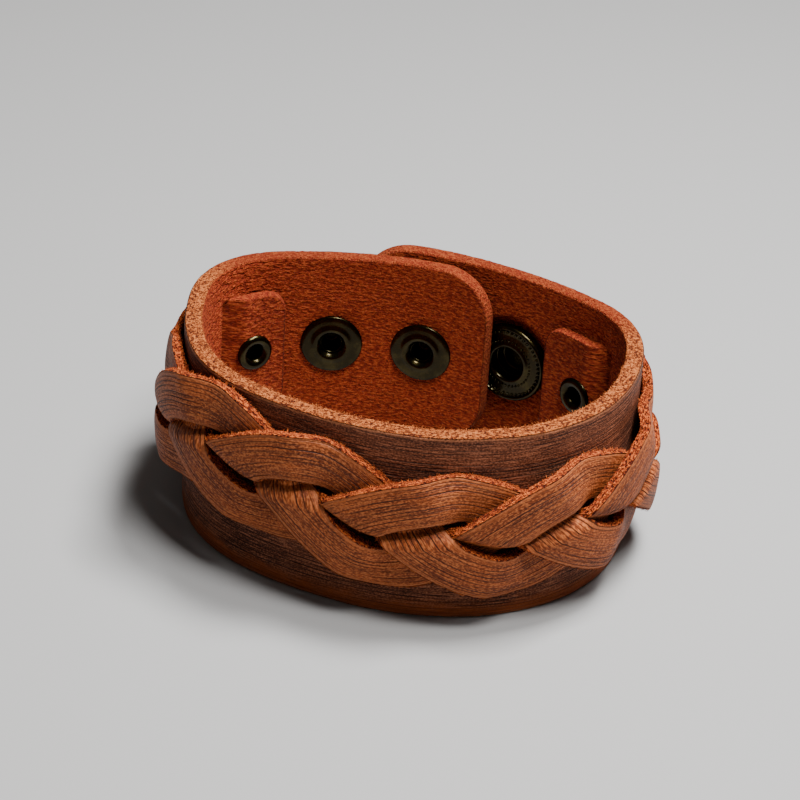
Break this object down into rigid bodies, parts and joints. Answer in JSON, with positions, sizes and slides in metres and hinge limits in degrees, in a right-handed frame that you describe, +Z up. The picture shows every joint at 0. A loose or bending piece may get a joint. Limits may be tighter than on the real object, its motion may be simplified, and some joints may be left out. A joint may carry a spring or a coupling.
{
  "type": "braided leather bracelet",
  "caption": "Wide brown leather wrist strap curled into a loop, with a braided strip on its front, closed at the back by dark brass press snaps.",
  "frame": {"origin": "middle of the bounding box, on the level of the strap's lower edge", "axes": "+Z up across the strap's width, +Y to the overlap at the back of the wrist, +X to the wearer's side of the long axis"},
  "size_m": [0.0762, 0.0652, 0.03],
  "materials": {
    "strap_leather": "rubbed brown grain outside, rust-orange suede inside, pale raw cut edges",
    "braid_leather": "rubbed tan-brown grain outside, fibrous orange cut edges and suede back",
    "dark_brass": "antique dark brass, glossy"
  },
  "bodies": {
    "root": {"strap": "strap_leather", "braid": "braid_leather", "snap_post_closed": "dark_brass", "snap_stud_closed": "dark_brass", "snap_socket_closed": "dark_brass", "snap_cap_closed": "dark_brass", "snap_post_free": "dark_brass", "snap_stud_free": "dark_brass", "snap_socket_free": "dark_brass", "snap_cap_free": "dark_brass", "rivet_left": "dark_brass", "rivet_cap_left": "dark_brass", "rivet_right": "dark_brass", "rivet_cap_right": "dark_brass"}
  },
  "joints": []
}
